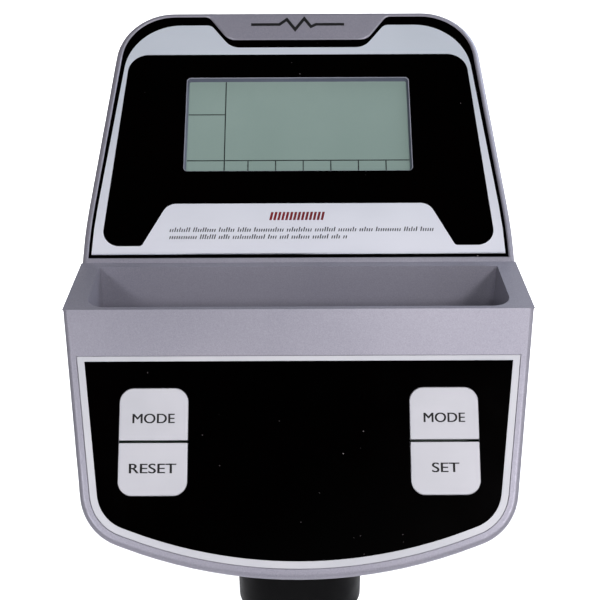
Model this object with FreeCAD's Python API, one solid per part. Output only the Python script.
import FreeCAD, Part
import math
import os
from FreeCAD import Placement, Rotation, Vector

# Console head of a fitness machine, in millimetres.
# The work frame has X to the user's right, Y away from the user and Z up. Its zero is the middle
# of the tray rim's front edge. Each shape is moved at the end, so that the origin of the saved
# parts is the middle of the mast spigot.

# Driving dimensions of the housing
RIM_HALF = 118.9         # half of the width at the tray rim
TOP_HALF = 105.2         # half of the width at the top, where the two sides would end
RIM_DEPTH = 51.9         # rim, front edge to the foot of the upper panel
UPPER_LENGTH = 164.5     # upper panel, up its slope
UPPER_LEAN = 49.6        # degrees from the vertical
LOWER_LENGTH = 131.9     # lower panel, down its slope
LOWER_LEAN = 38.9        # degrees from the vertical
TOP_THICKNESS = 22.0     # body at the top edge
BOTTOM_THICKNESS = 20.0  # body at the bottom edge
WALL = 3.0
RECESS = 1.0             # both panels are let into the housing by this much
SPLIT = 14.0             # depth of the joint between the two shells
EDGE_RADIUS = 3.0        # rounding of the front edges
BELLY_Z = -62.0          # lowest face of the rear shell

# Reach of the shapes that only cut or trim, well past the body
DEEP = 90.0
BEYOND = 60.0
ABOVE = 330.0
AHEAD = -260.0
WIDE = 200.0

# Upper panel
FILM = 0.5
KNEE = 20.0              # height up the slope at which the sides start to lean in
TOP_RADIUS = 34.0
OVERLAY_INSET = 3.6
OVERLAY_FOOT = 3.2
NOTCH_FOOT = 144.5
NOTCH_LOW_HALF = 41.5
NOTCH_HIGH_HALF = 53.5
LCD_HALF = 65.3
LCD_LOW = 56.5
LCD_HIGH = 118.3
LCD_BEVEL = 1.3
GLASS = 2.8

# Lower panel
KEYPAD_TOP = -23.7
KEYPAD_INSET = 5.4
TRIM_TOP = 2.4
TRIM_SIDE = 3.4
KEY_X = 71.6
KEY_WIDTH = 33.8
KEY_TOP = -39.6
KEY_BOTTOM = -91.8
KEY_GAP = 1.3
KEY_PROUD = 0.6
KEY_CLEAR = 0.3
KEY_RADIUS = 6.9

# Tray pocket
POCKET_HALF = 108.0
POCKET_FRONT = 2.6
POCKET_BACK = 46.8
POCKET_DEPTH = 42.0
POCKET_WALL = 2.2

# Boards, with their screws in the panel frames
BOARD = 1.6
BOARD_DEPTH = 11.0
KEY_BOARD_DEPTH = 12.0
BOARD_SCREWS = [(72.5, 49.5), (-72.5, 49.5), (72.5, 125.5), (-72.5, 125.5)]
KEY_BOARD_SCREWS = [(40.0, -50.0), (-40.0, -50.0)]
BOARD_BOSS = 3.2
BOARD_PILOT = 1.25

# Cover screws, in the panel frames
UPPER_COVER_SCREWS = [(80.0, 142.0), (-80.0, 142.0)]
LOWER_COVER_SCREWS = [(78.0, -108.0), (-78.0, -108.0)]
COVER_BOSS = 5.5
COVER_PILOT = 1.65
SCREW_WELL = 20.0

# Sensor jack in the belly
JACK_X = 60.0
JACK_Y = 36.0
JACK_BARREL = 4.95
JACK_FLANGE = 6.5
JACK_PLUG = 1.8

# Batteries, size AA
CELL_RADIUS = 7.1
CELL_LENGTH = 50.5
BAY_LOW = 11.0
BAY_HIGH = 43.0
BAY_HALF = 54.0
BAY_DEPTH = 18.5
DOOR = 2.0
DOOR_HALF = 58.0
DOOR_RIM = 3.0           # how far the door's far edge and its seat reach past the bay
DOOR_CLEAR = 0.3
HINGE_Y = BAY_LOW - 1.6
HINGE_RADIUS = 0.8
HINGE_PIN = 1.9
CELL_ROWS = (19.3, 34.7)
CELL_HEIGHT = DOOR + 0.6 + CELL_RADIUS
CONTACT = 0.4

# Mast spigot and bracket
MAST_Y = -22.0
SPIGOT_RADIUS = 22.0
NECK_RADIUS = 24.0
TUBE_WALL = 2.0
SPIGOT_LENGTH = 40.0
SPIGOT_END = -200.0
SPIGOT_LAP = 14.0
SHOULDER = SPIGOT_END + SPIGOT_LENGTH
CROSS_BOLT_RADIUS = 4.25
LAP_RADIUS = 21.4
CROSS_BOLT_RISE = 8.0    # above the middle of the spigot
PLATE = 3.0
PLATE_HALF_X = 40.0
PLATE_HALF_Y = 26.0
BRACKET_SCREWS = [(32.0, 18.0), (-32.0, 18.0), (32.0, -18.0), (-32.0, -18.0)]
CABLE_HOLE = 12.0

# Neck cover
COVER_HALF = 33.0
COVER_WALL = 2.4
COVER_RADIUS = 20.0
COVER_END = SHOULDER + 2
NECK_SCREW_X = 28.0
NECK_SCREW_Z = -146.0

ORIGIN = Vector(0, MAST_Y, SPIGOT_END + SPIGOT_LENGTH / 2)


# Frames: local X is the work X, local Y runs up the face and local Z is the face's normal.
def face_frame(foot_y, foot_z, rise):
    return Placement(Vector(0, foot_y, foot_z), Rotation(Vector(1, 0, 0), rise))


UPPER = face_frame(RIM_DEPTH, 0, 90 - UPPER_LEAN)
LOWER = face_frame(0, 0, 90 - LOWER_LEAN)

TOP_BACK = UPPER.multVec(Vector(0, UPPER_LENGTH, -TOP_THICKNESS))
BOTTOM_BACK = LOWER.multVec(Vector(0, -LOWER_LENGTH, -BOTTOM_THICKNESS))
BELLY_FRONT = Vector(0, 6, BELLY_Z)
BELLY_BACK = Vector(0, 64, BELLY_Z)
REAR_FOOT = Vector(0, 97, -28)


def rise_between(low, high):
    return math.degrees(math.atan2(high.z - low.z, high.y - low.y))


# On these two faces local Z points into the body.
REAR = face_frame(REAR_FOOT.y, REAR_FOOT.z, rise_between(REAR_FOOT, TOP_BACK))
BASE_RISE = rise_between(BOTTOM_BACK, BELLY_FRONT)
BASE_Z = BOTTOM_BACK.z + (MAST_Y - BOTTOM_BACK.y) * math.tan(math.radians(BASE_RISE))
BASE = face_frame(MAST_Y, BASE_Z, BASE_RISE)


# Shape helpers
def outline(corners):
    """A closed wire through corners (x, y, radius), each rounded to its radius."""
    points = [Vector(x, y, 0) for x, y, radius in corners]
    stretches = []
    for index, corner in enumerate(corners):
        here = points[index]
        back = (points[index - 1] - here).normalize()
        ahead = (points[(index + 1) % len(points)] - here).normalize()
        half_angle = back.getAngle(ahead) / 2
        reach = corner[2] / math.tan(half_angle)
        to_middle = corner[2] / math.sin(half_angle) - corner[2]
        middle = here + (back + ahead).normalize() * to_middle
        stretches.append((here + back * reach, middle, here + ahead * reach, corner[2]))
    edges = []
    for index, (start, middle, end, radius) in enumerate(stretches):
        if radius:
            edges.append(Part.Arc(start, middle, end).toShape())
        following = stretches[(index + 1) % len(stretches)][0]
        if end.distanceToPoint(following) > 0.001:
            edges.append(Part.makeLine(end, following))
    return Part.Wire(edges)


def plate(corners, low, high):
    """The outline as a slab between two heights."""
    face = Part.Face(outline(corners))
    face.translate(Vector(0, 0, low))
    return face.extrude(Vector(0, 0, high - low))


def taper(low_corners, low, high_corners, high):
    """A solid that changes from one outline to another of the same kind."""
    low_wire = outline(low_corners)
    low_wire.translate(Vector(0, 0, low))
    high_wire = outline(high_corners)
    high_wire.translate(Vector(0, 0, high))
    return Part.makeLoft([low_wire, high_wire], True)


def both_sides(right):
    """Right-hand corners from the bottom up, followed by their mirror images."""
    left = [(-x, y, radius) for x, y, radius in reversed(right)]
    return list(right) + left


def rectangle(half_x, low_y, high_y, radius):
    return both_sides([(half_x, low_y, radius), (half_x, high_y, radius)])


def block(x0, x1, y0, y1, z0, z1):
    return Part.makeBox(x1 - x0, y1 - y0, z1 - z0, Vector(x0, y0, z0))


def rod(x, y, z0, z1, radius):
    return Part.makeCylinder(radius, z1 - z0, Vector(x, y, z0))


def bar(x0, x1, y, z, radius):
    """A rod along X."""
    return Part.makeCylinder(radius, x1 - x0, Vector(x0, y, z), Vector(1, 0, 0))


def joined(shapes):
    result = shapes[0].fuse(shapes[1:])
    return result.removeSplitter()


def placed(shape, frame):
    shape.Placement = frame.multiply(shape.Placement)
    return shape


def in_frame(shapes, frame):
    return [placed(shape, frame) for shape in shapes]


def save(name, shape):
    shape = shape.copy()
    shape.translate(ORIGIN * -1)
    solids = shape.Solids
    result = solids[0] if len(solids) == 1 else Part.makeCompound(solids)
    print(name, len(solids), result.isValid(), round(result.Volume))
    result.exportStep("parts/" + name + ".step")


def side_slab(points, half):
    """A polygon (y, z, radius) in the side view, as wide as twice half."""
    slab = plate(points, -half, half)
    return placed(slab, Placement(Vector(), Rotation(Vector(1, 1, 1), 120)))


# Outlines of the two panels, inset from the body's own edge
def upper_outline(inset, foot):
    top = UPPER_LENGTH - inset
    return both_sides([
        (RIM_HALF - inset, foot, 0),
        (RIM_HALF - inset, KNEE, 300 - inset),
        (TOP_HALF - inset, top, TOP_RADIUS - inset)])


def lower_outline(inset, top):
    side_slope = 0.126
    bend = math.radians(20)
    sweep = 248.0
    bottom = -LOWER_LENGTH + inset
    knee_x = (sweep - inset) * math.tan(bend / 2)
    rise = math.tan(bend)
    corner_x = (RIM_HALF - inset + side_slope * (bottom - knee_x * rise)) / (1 - side_slope * rise)
    corner_y = bottom + (corner_x - knee_x) * rise
    return both_sides([
        (knee_x, bottom, sweep - inset),
        (corner_x, corner_y, 28 - inset),
        (RIM_HALF - inset + side_slope * top, top, 0)])


def overlay_outline(grow):
    """Edge of the display film. Its top has a notch that the housing's plateau fills."""
    inset = OVERLAY_INSET - grow
    side = upper_outline(inset, OVERLAY_FOOT - grow)[:3]
    top = UPPER_LENGTH - inset
    return both_sides(side + [
        (NOTCH_HIGH_HALF - grow, top, 5),
        (NOTCH_LOW_HALF - grow, NOTCH_FOOT + grow, 9)])


def key_pair_outline(centre, grow):
    half = KEY_WIDTH / 2 + grow
    low = KEY_BOTTOM - grow
    high = KEY_TOP + grow
    radius = KEY_RADIUS + grow
    return [(centre + half, low, radius), (centre + half, high, radius),
            (centre - half, high, radius), (centre - half, low, radius)]


# Body of the console, before it is hollowed and split
def rear_profile(inset):
    """Side view of what lies ahead of the rear surface, well past the front faces."""
    low_end = BOTTOM_BACK + (BOTTOM_BACK - BELLY_FRONT).normalize() * BEYOND
    high_end = TOP_BACK + (TOP_BACK - REAR_FOOT).normalize() * BEYOND
    chain = [low_end, BELLY_FRONT, BELLY_BACK, REAR_FOOT, high_end]
    radii = [0, 25, 25, 20, 0]
    normals = []
    for start, end in zip(chain, chain[1:]):
        along = (end - start).normalize()
        normals.append(Vector(0, -along.z, along.y))
    points = []
    for here, first, second, radius in zip(chain, normals[:1] + normals, normals + normals[-1:], radii):
        mitre = first + second
        moved = here + mitre * (2 / mitre.dot(mitre) * inset)
        points.append((moved.y, moved.z, radius - inset if radius else 0))
    return points + [(100, ABOVE, 0), (AHEAD, ABOVE, 0), (AHEAD, points[0][1], 0)]


def body(inset):
    """The whole outer form, or the same form with every face moved inwards."""
    upper = plate(upper_outline(inset, 0), -DEEP, -inset)
    lower = plate(lower_outline(inset, 0), -DEEP, -inset)
    if inset < EDGE_RADIUS:
        upper = upper.makeFillet(EDGE_RADIUS - inset, front_loop(upper))
        lower = lower.makeFillet(EDGE_RADIUS - inset, front_loop(lower))
    placed(upper, UPPER)
    placed(lower, LOWER)
    upper_ray = UPPER.multVec(Vector(0, 0, -DEEP))
    lower_ray = LOWER.multVec(Vector(0, 0, -DEEP))
    middle = side_slab([
        (0, 0, 0), (RIM_DEPTH, 0, 0), (upper_ray.y, upper_ray.z, 0),
        (lower_ray.y, lower_ray.z, 0)], RIM_HALF - inset)
    if inset:
        middle = middle.cut(block(-WIDE, WIDE, -50, 120, -inset, 50))
    whole = joined([upper, middle, lower])
    return whole.common(side_slab(rear_profile(inset), WIDE))


def front_loop(prism):
    """Edges of the front face, but not the straight one at the rim."""
    top = prism.BoundBox.ZMax
    chosen = []
    for edge in prism.Edges:
        box = edge.BoundBox
        if box.ZMin > top - 0.01 and not (box.YLength < 0.01 and abs(box.YMin) < 0.01):
            chosen.append(edge)
    return chosen


def crossing(frame, depth, height):
    """The y at which a face, moved along its normal, crosses a height."""
    start = frame.multVec(Vector(0, 0, depth))
    step = frame.multVec(Vector(0, 1, depth)) - start
    return start.y + step.y * (height - start.z) / step.z


def front_region():
    """Side view of what belongs to the front shell: a skin along the three front faces."""
    low = LOWER.multVec(Vector(0, -LOWER_LENGTH - BEYOND, -SPLIT))
    high = UPPER.multVec(Vector(0, UPPER_LENGTH + BEYOND, -SPLIT))
    return side_slab([
        (low.y, low.z, 0),
        (crossing(LOWER, -SPLIT, -SPLIT), -SPLIT, 0),
        (crossing(UPPER, -SPLIT, -SPLIT), -SPLIT, 0),
        (high.y, high.z, 0),
        (high.y, ABOVE, 0),
        (AHEAD, ABOVE, 0),
        (AHEAD, low.z, 0)], WIDE)


def front_boss(x, y, depth, radius, pilot):
    """A screw boss that stands on the inside of a front face."""
    return rod(x, y, -depth, -WALL + 0.5, radius).cut(rod(x, y, -depth, -WALL - 1, pilot))


def front_bosses():
    bosses = []
    for frame, places, depth, radius, pilot in (
            (UPPER, BOARD_SCREWS, BOARD_DEPTH, BOARD_BOSS, BOARD_PILOT),
            (LOWER, KEY_BOARD_SCREWS, KEY_BOARD_DEPTH, BOARD_BOSS, BOARD_PILOT),
            (UPPER, UPPER_COVER_SCREWS, SPLIT, COVER_BOSS, COVER_PILOT),
            (LOWER, LOWER_COVER_SCREWS, SPLIT, COVER_BOSS, COVER_PILOT)):
        bosses += [placed(front_boss(x, y, depth, radius, pilot), frame) for x, y in places]
    return bosses


def front_housing(outer, inner):
    shell = outer.cut(inner).common(front_region())
    shell = joined([shell] + front_bosses())
    recess = plate(overlay_outline(0.15), -RECESS, 20)
    lip = taper(overlay_outline(0.15), -0.5, overlay_outline(0.65), 0.001)
    window = plate(rectangle(LCD_HALF + 1.7, LCD_LOW - 1.7, LCD_HIGH + 1.7, 3), -WALL - 1, 0)
    keypad = plate(lower_outline(KEYPAD_INSET - 0.35, KEYPAD_TOP + 0.35), -RECESS, 20)
    cuts = in_frame([recess, lip, window], UPPER) + in_frame([keypad], LOWER)
    for side in (-1, 1):
        keys = plate(key_pair_outline(side * KEY_X, KEY_CLEAR), -WALL - 1, 0)
        cuts.append(placed(keys, LOWER))
    cuts.append(plate(pocket_outline(0), -WALL - 5, 20))
    return shell.cut(cuts)


def pocket_outline(grow):
    half = POCKET_HALF + grow
    radius = 10 + grow
    return [(half, POCKET_FRONT - grow, radius), (half, POCKET_BACK + grow, 0),
            (-half, POCKET_BACK + grow, 0), (-half, POCKET_FRONT - grow, radius)]


def tray_pocket(housing):
    tub = plate(pocket_outline(POCKET_WALL), -POCKET_DEPTH - POCKET_WALL, -WALL)
    tub = tub.cut(plate(pocket_outline(0), -POCKET_DEPTH, 20))
    return largest(tub.cut(housing))


def largest(shape):
    return max(shape.Solids, key=lambda solid: solid.Volume)


def rear_bosses(outer):
    bosses = []
    for frame, places in ((UPPER, UPPER_COVER_SCREWS), (LOWER, LOWER_COVER_SCREWS)):
        for x, y in places:
            boss = placed(rod(x, y, -SPLIT - 25, -SPLIT - 0.1, COVER_BOSS), frame)
            bosses.append(boss.common(outer))
    for x, y in BRACKET_SCREWS:
        bosses.append(placed(rod(x, y, 0.5, 15, 5), BASE))
    tub = block(-BAY_HALF - 2, BAY_HALF + 2, BAY_LOW - 2, BAY_HIGH + 2, 1, BAY_DEPTH + 2)
    ledge = block(-DOOR_HALF - 3, DOOR_HALF + 3, BAY_LOW - 6, BAY_HIGH + 6, 1, DOOR + 2.2)
    bosses += in_frame([tub, ledge], REAR)
    return bosses


def door_outline(foot, grow):
    """The battery door's edge, square at the hinge and rounded at the far side."""
    return both_sides([
        (DOOR_HALF + grow, foot - grow, 0),
        (DOOR_HALF + grow, BAY_HIGH + DOOR_RIM + grow, 2 + grow)])


def rear_cover(outer, inner):
    shell = outer.cut(inner).cut(front_region())
    shell = joined([shell] + rear_bosses(outer))
    cuts = []
    for frame, places in ((UPPER, UPPER_COVER_SCREWS), (LOWER, LOWER_COVER_SCREWS)):
        for x, y in places:
            cuts += in_frame([rod(x, y, -60, -SCREW_WELL, 3.6), rod(x, y, -60, 0, 1.85)], frame)
    for x, y in BRACKET_SCREWS:
        cuts.append(placed(rod(x, y, -5, 13, 2.5), BASE))
    cuts.append(placed(rod(0, 0, -5, 10, CABLE_HOLE), BASE))
    bay = block(-BAY_HALF, BAY_HALF, BAY_LOW, BAY_HIGH, -5, BAY_DEPTH)
    door_seat = plate(door_outline(BAY_LOW - DOOR_RIM, DOOR_CLEAR), -5, DOOR + 0.2)
    pin_end = DOOR_HALF + HINGE_PIN + 0.15
    hinge = bar(-pin_end, pin_end, HINGE_Y, DOOR / 2, HINGE_RADIUS + 0.05)
    cuts += in_frame([bay, door_seat, hinge], REAR)
    cuts.append(rod(JACK_X, JACK_Y, BELLY_Z - 5, BELLY_Z + 8, JACK_BARREL + 0.05))
    return largest(shell.cut(cuts))


def sensor_jack():
    """A socket for a 3.5 mm plug, in the belly of the rear shell."""
    barrel = rod(JACK_X, JACK_Y, BELLY_Z - 0.8, BELLY_Z + 14, JACK_BARREL)
    flange = rod(JACK_X, JACK_Y, BELLY_Z - 1.6, BELLY_Z, JACK_FLANGE)
    return joined([barrel, flange]).cut(rod(JACK_X, JACK_Y, BELLY_Z - 2, BELLY_Z + 12.4, JACK_PLUG))


# Display
def display_overlay():
    film = plate(overlay_outline(0), -RECESS, -RECESS + FILM)
    return film.cut(plate(rectangle(LCD_HALF, LCD_LOW, LCD_HIGH, 2.3), -5, 5))


def lcd_frame():
    tip = plate(rectangle(LCD_HALF + 1.6, LCD_LOW - 1.6, LCD_HIGH + 1.6, 2.9), -WALL - 0.5, -RECESS)
    holder = plate(rectangle(LCD_HALF + 3.9, LCD_LOW - 3.9, LCD_HIGH + 3.9, 2), -WALL - 5, -WALL)
    seat = plate(rectangle(LCD_HALF + 1.9, LCD_LOW - 1.9, LCD_HIGH + 1.9, 0), -WALL - 6, -WALL - 0.1)
    inside = LCD_BEVEL
    bevel = taper(rectangle(LCD_HALF - inside, LCD_LOW + inside, LCD_HIGH - inside, 1.2), -WALL - 0.1,
                  rectangle(LCD_HALF + 0.05, LCD_LOW - 0.05, LCD_HIGH + 0.05, 2.3), -RECESS + 0.05)
    return joined([tip, holder]).cut([seat, bevel])


def lcd_stack():
    front = -WALL - 0.1
    low = LCD_LOW - 1.7
    high = LCD_HIGH + 1.7
    glass = block(-LCD_HALF - 1.7, LCD_HALF + 1.7, low, high, front - GLASS, front)
    backing = block(-64, 64, low + 3, high - 3, front - GLASS - 1.5, front - GLASS)
    strips = [block(-62, 62, y, y + 2.2, -BOARD_DEPTH, front - GLASS) for y in (low + 0.3, high - 2.5)]
    return glass, backing, strips


def main_board():
    board = block(-77, 77, 45, 130, -BOARD_DEPTH - BOARD, -BOARD_DEPTH)
    return board.cut([rod(x, y, -20, 0, 1.35) for x, y in BOARD_SCREWS])


def key_board():
    board = block(-95, 95, -97, -36, -KEY_BOARD_DEPTH - BOARD, -KEY_BOARD_DEPTH)
    return board.cut([rod(x, y, -20, 0, 1.35) for x, y in KEY_BOARD_SCREWS])


def board_screw(x, y, depth):
    head = rod(x, y, -depth - BOARD - 1.6, -depth - BOARD, 2.4)
    socket = rod(x, y, -depth - BOARD - 2, -depth - BOARD - 0.7, 1.1)
    return joined([head, rod(x, y, -depth - BOARD - 0.1, -depth + 6, 1.2)]).cut(socket)


def chip():
    return block(0, 18, 62, 80, -BOARD_DEPTH - BOARD - 1.6, -BOARD_DEPTH - BOARD)


def buzzer():
    back = -BOARD_DEPTH - BOARD
    case = rod(-45, 72, back - 5.5, back, 6)
    return case.cut(rod(-45, 72, back - 6, back - 4, 1.2))


def capacitor(x):
    back = -BOARD_DEPTH - BOARD
    can = rod(x, 70, back - 6.5, back, 2.5)
    return can.makeFillet(0.4, [edge for edge in can.Edges if edge.BoundBox.ZMax < back - 6])


# Keypad
def keypad_trim():
    ring = plate(lower_outline(KEYPAD_INSET, KEYPAD_TOP), -RECESS, -0.2)
    inner = lower_outline(KEYPAD_INSET + TRIM_SIDE, KEYPAD_TOP - TRIM_TOP)
    return ring.cut(plate(inner, -5, 5))


def keypad_film():
    outer = lower_outline(KEYPAD_INSET + TRIM_SIDE + 0.02, KEYPAD_TOP - TRIM_TOP - 0.02)
    film = plate(outer, -RECESS, -RECESS + FILM)
    return film.cut([plate(key_pair_outline(side * KEY_X, KEY_CLEAR), -5, 5) for side in (-1, 1)])


def key(side, upper):
    """Cap, retaining flange and stem of one key. The two keys of a pair face each other squarely."""
    middle = (KEY_TOP + KEY_BOTTOM) / 2
    step = 1 if upper else -1
    inner = middle + step * KEY_GAP / 2
    outer = KEY_TOP if upper else KEY_BOTTOM
    half = KEY_WIDTH / 2
    left = side * KEY_X - half
    right = side * KEY_X + half
    corners = [(left, inner, 0.5), (right, inner, 0.5), (right, outer, KEY_RADIUS), (left, outer, KEY_RADIUS)]
    cap = plate(corners, -WALL - 2, -RECESS + FILM + KEY_PROUD)
    top = cap.BoundBox.ZMax
    cap = cap.makeFillet(0.35, [edge for edge in cap.Edges if edge.BoundBox.ZMin > top - 0.01])
    low, high = sorted((inner, outer + step * 1.5))
    flange = block(left - 1.5, right + 1.5, low, high, -WALL - 2, -WALL - 0.1)
    centre = (inner + outer) / 2
    stem = rod(side * KEY_X, centre, -WALL - 4, -WALL - 1, 3)
    return joined([cap, flange, stem])


def tact_switch(side, upper):
    middle = (KEY_TOP + KEY_BOTTOM) / 2
    step = 1 if upper else -1
    x = side * KEY_X
    y = middle + step * (KEY_GAP + KEY_TOP - KEY_BOTTOM) / 4
    case = block(x - 3, x + 3, y - 3, y + 3, -KEY_BOARD_DEPTH, -KEY_BOARD_DEPTH + 3.5)
    return joined([case, rod(x, y, -KEY_BOARD_DEPTH + 3, -KEY_BOARD_DEPTH + 4.1, 1.7)])


def ribbon_cable():
    """Flat cable from the key board, under the pocket, to the main board."""
    start = LOWER.multVec(Vector(0, -42, -KEY_BOARD_DEPTH - BOARD))
    away = LOWER.multVec(Vector(0, -42, -KEY_BOARD_DEPTH - BOARD - 7))
    finish = UPPER.multVec(Vector(0, 50, -BOARD_DEPTH - BOARD))
    before = UPPER.multVec(Vector(0, 50, -BOARD_DEPTH - BOARD - 5))
    route = [start, away, Vector(0, 2, -51), Vector(0, 54, -51), Vector(0, 66, -22), before, finish]
    strips = []
    for first, second in zip(route, route[1:]):
        along = (second - first).normalize()
        across = Vector(0, -along.z, along.y) * 0.45
        corners = [first + across, second + across, second - across, first - across]
        wire = Part.makePolygon(corners + corners[:1])
        wire.translate(Vector(-14, 0, 0))
        strips.append(Part.Face(wire).extrude(Vector(28, 0, 0)))
        knee = bar(-14, 14, second.y, second.z, 0.45)
        if second is not finish:
            strips.append(knee)
    return joined(strips)


# Batteries
def battery_cell(row, side):
    """One AA cell. The cells of a row touch at the middle."""
    y = CELL_ROWS[row]
    start = -CELL_LENGTH if side < 0 else 0
    can = bar(start, start + CELL_LENGTH - 1.2, y, CELL_HEIGHT, CELL_RADIUS)
    nub = bar(start + CELL_LENGTH - 1.3, start + CELL_LENGTH, y, CELL_HEIGHT, 2.7)
    return joined([can, nub])


def battery_contact(side):
    low, high = sorted((side * (BAY_HALF - CONTACT), side * BAY_HALF))
    return block(low, high, BAY_LOW + 1.5, BAY_HIGH - 1.5, DOOR + 1.5, BAY_DEPTH - 0.5)


def battery_spring(row, side):
    """Conical spring, as the stack of turns that it is pressed into."""
    y = CELL_ROWS[row]
    tip = side * CELL_LENGTH
    foot = side * (BAY_HALF - CONTACT)
    low, high = sorted((tip, foot))
    return bar(low, high, y, CELL_HEIGHT, 3.4).cut(bar(low - 1, high + 1, y, CELL_HEIGHT, 2.4))


def battery_door():
    leaf = plate(door_outline(HINGE_Y, 0), 0, DOOR)
    pins = bar(-DOOR_HALF - HINGE_PIN, DOOR_HALF + HINGE_PIN, HINGE_Y, DOOR / 2, HINGE_RADIUS)
    barrel = bar(-DOOR_HALF + 2, DOOR_HALF - 2, HINGE_Y, DOOR / 2, DOOR / 2)
    grip = [block(-9, 9, BAY_HIGH - 3 - 2 * i, BAY_HIGH - 2.2 - 2 * i, -1, 0.6) for i in range(4)]
    return joined([leaf, pins, barrel]).cut(grip)


# Cover screws
def cover_screw(x, y):
    head = rod(x, y, -SCREW_WELL - 2.2, -SCREW_WELL, 3.2)
    shank = rod(x, y, -SCREW_WELL - 0.5, -WALL - 3, 1.6)
    slot = joined([block(x - 2, x + 2, y - 0.4, y + 0.4, -30, -SCREW_WELL - 1.2),
                   block(x - 0.4, x + 0.4, y - 2, y + 2, -30, -SCREW_WELL - 1.2)])
    return joined([head, shank]).cut(slot)


# Mast bracket
def bracket_plate():
    sheet = plate(rectangle(PLATE_HALF_X, -PLATE_HALF_Y, PLATE_HALF_Y, 6), -PLATE, 0)
    holes = [rod(x, y, -10, 10, 2.6) for x, y in BRACKET_SCREWS]
    return sheet.cut(holes + [rod(0, 0, -10, 10, CABLE_HOLE)])


def bracket_screw(x, y):
    head = rod(x, y, -PLATE - 3, -PLATE, 4.2)
    socket = plate([(x + 2.2 * math.cos(math.radians(60 * i)), y + 2.2 * math.sin(math.radians(60 * i)), 0)
                    for i in range(6)], -PLATE - 4, -PLATE - 1.2)
    return joined([head, rod(x, y, -PLATE - 0.5, 12.5, 2.45)]).cut(socket)


def below_plate(shape):
    """What is left of an upright shape under the bracket plate's lower face."""
    above = placed(block(-WIDE, WIDE, -WIDE, WIDE, -PLATE, WIDE), BASE)
    return shape.cut(above)


def upright(radius, low, high):
    return Part.makeCylinder(radius, high - low, Vector(0, MAST_Y, low))


def spigot_tube():
    """The spigot. Its upper end is turned down a little and pressed into the neck tube."""
    tube = joined([upright(SPIGOT_RADIUS, SPIGOT_END, SHOULDER),
                   upright(LAP_RADIUS, SHOULDER - 1, SHOULDER + SPIGOT_LAP)])
    tube = tube.cut(upright(SPIGOT_RADIUS - TUBE_WALL, -WIDE - 10, 0))
    return tube.cut(bar(-60, 60, MAST_Y, ORIGIN.z + CROSS_BOLT_RISE, CROSS_BOLT_RADIUS))


def neck_tube():
    return below_plate(upright(NECK_RADIUS, SHOULDER, -40).cut(upright(LAP_RADIUS, -WIDE, 0)))


def neck_sleeve(half, radius, low):
    corners = rectangle(half, MAST_Y - half + 2, MAST_Y + half - 2, radius)
    return plate(corners, low, -30)


def neck_shell():
    """Sleeve round the neck tube. Its upper end follows the bracket plate and the rear cover."""
    sleeve = neck_sleeve(COVER_HALF, COVER_RADIUS, COVER_END)
    inside = neck_sleeve(COVER_HALF - COVER_WALL, COVER_RADIUS - COVER_WALL, COVER_END + 3)
    sleeve = sleeve.cut([inside, upright(NECK_RADIUS + 0.3, -WIDE, 0)])
    plate_edge = rectangle(PLATE_HALF_X + 1, -PLATE_HALF_Y - 1, PLATE_HALF_Y + 1, 6)
    plate_room = placed(plate(plate_edge, -PLATE - 3.6, 50), BASE)
    return sleeve.cut([plate_room, side_slab(rear_profile(-0.3), 60)])


def along_y(x, z, y0, y1, radius):
    return Part.makeCylinder(radius, y1 - y0, Vector(x, y0, z), Vector(0, 1, 0))


def neck_halves():
    shell = neck_shell()
    bosses = [along_y(x, NECK_SCREW_Z, MAST_Y - 12, MAST_Y + 12, 3.0) for x in (-NECK_SCREW_X, NECK_SCREW_X)]
    shell = joined([shell] + bosses).cut(upright(NECK_RADIUS + 0.3, -WIDE, 0))
    for x in (-NECK_SCREW_X, NECK_SCREW_X):
        shell = shell.cut(along_y(x, NECK_SCREW_Z, MAST_Y - 8, MAST_Y + 40, 1.3))
        shell = shell.cut(along_y(x, NECK_SCREW_Z, MAST_Y + 9, MAST_Y + 40, 2.6))
    ahead = block(-WIDE, WIDE, -WIDE, MAST_Y - 0.05, -WIDE, 0)
    behind = block(-WIDE, WIDE, MAST_Y + 0.05, WIDE, -WIDE, 0)
    return largest(shell.common(ahead)), largest(shell.common(behind))


def neck_screw(x):
    head = along_y(x, NECK_SCREW_Z, MAST_Y + 9, MAST_Y + 11, 2.5)
    shank = along_y(x, NECK_SCREW_Z, MAST_Y - 7, MAST_Y + 9.5, 1.25)
    return joined([head, shank])


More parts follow.
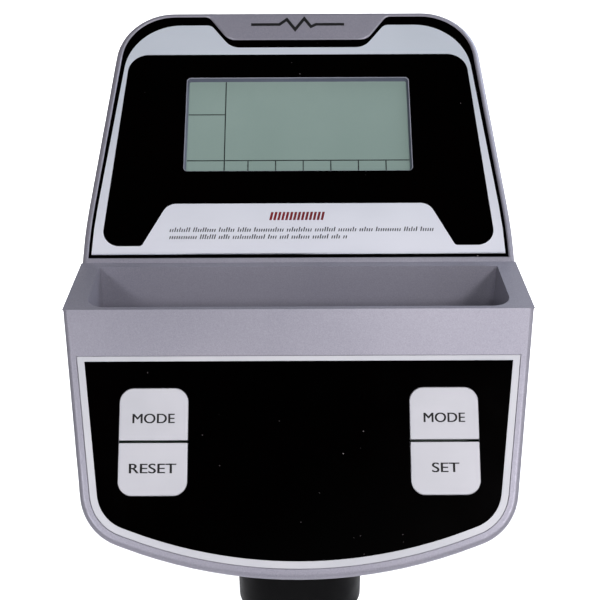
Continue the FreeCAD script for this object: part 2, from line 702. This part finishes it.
def save_all():
    outer = body(0)
    inner = body(WALL)
    housing = front_housing(outer, inner)
    save("front_housing", housing)
    save("tray_pocket", tray_pocket(housing))
    save("rear_cover", rear_cover(outer, inner))
    save("sensor_jack", sensor_jack())
    save("display_overlay", placed(display_overlay(), UPPER))
    save("lcd_frame", placed(lcd_frame(), UPPER))
    glass, backing, strips = lcd_stack()
    save("lcd_glass", placed(glass, UPPER))
    save("lcd_backing", placed(backing, UPPER))
    save("zebra_strip_low", placed(strips[0], UPPER))
    save("zebra_strip_high", placed(strips[1], UPPER))
    save("main_board", placed(main_board(), UPPER))
    save("controller_chip", placed(chip(), UPPER))
    save("buzzer", placed(buzzer(), UPPER))
    for number, x in enumerate((34.0, 42.0), 1):
        save("capacitor_%d" % number, placed(capacitor(x), UPPER))
    for number, (x, y) in enumerate(BOARD_SCREWS, 1):
        save("board_screw_%d" % number, placed(board_screw(x, y, BOARD_DEPTH), UPPER))
    save("keypad_trim", placed(keypad_trim(), LOWER))
    save("keypad_film", placed(keypad_film(), LOWER))
    save("key_board", placed(key_board(), LOWER))
    for number, (x, y) in enumerate(KEY_BOARD_SCREWS, 1):
        save("key_board_screw_%d" % number, placed(board_screw(x, y, KEY_BOARD_DEPTH), LOWER))
    for name, side, upper in (("mode_left", -1, True), ("reset", -1, False),
                              ("mode_right", 1, True), ("set", 1, False)):
        save(name + "_key", placed(key(side, upper), LOWER))
        save(name + "_switch", placed(tact_switch(side, upper), LOWER))
    save("ribbon_cable", ribbon_cable())
    for row in (0, 1):
        spring_side = -1 if row else 1
        for side, word in ((-1, "left"), (1, "right")):
            save("battery_cell_%s_%d" % (word, row + 1), placed(battery_cell(row, side), REAR))
        save("battery_spring_%d" % (row + 1), placed(battery_spring(row, spring_side), REAR))
    save("battery_contact_left", placed(battery_contact(-1), REAR))
    save("battery_contact_right", placed(battery_contact(1), REAR))
    save("battery_door", placed(battery_door(), REAR))
    for number, (x, y) in enumerate(UPPER_COVER_SCREWS, 1):
        save("cover_screw_%d" % number, placed(cover_screw(x, y), UPPER))
    for number, (x, y) in enumerate(LOWER_COVER_SCREWS, 3):
        save("cover_screw_%d" % number, placed(cover_screw(x, y), LOWER))
    save("bracket_plate", placed(bracket_plate(), BASE))
    for number, (x, y) in enumerate(BRACKET_SCREWS, 1):
        save("bracket_screw_%d" % number, placed(bracket_screw(x, y), BASE))
    save("spigot_tube", spigot_tube())
    save("neck_tube", neck_tube())
    front, rear = neck_halves()
    save("neck_cover_front", front)
    save("neck_cover_rear", rear)
    save("neck_screw_left", neck_screw(-NECK_SCREW_X))
    save("neck_screw_right", neck_screw(NECK_SCREW_X))


os.makedirs("parts", exist_ok=True)
save_all()
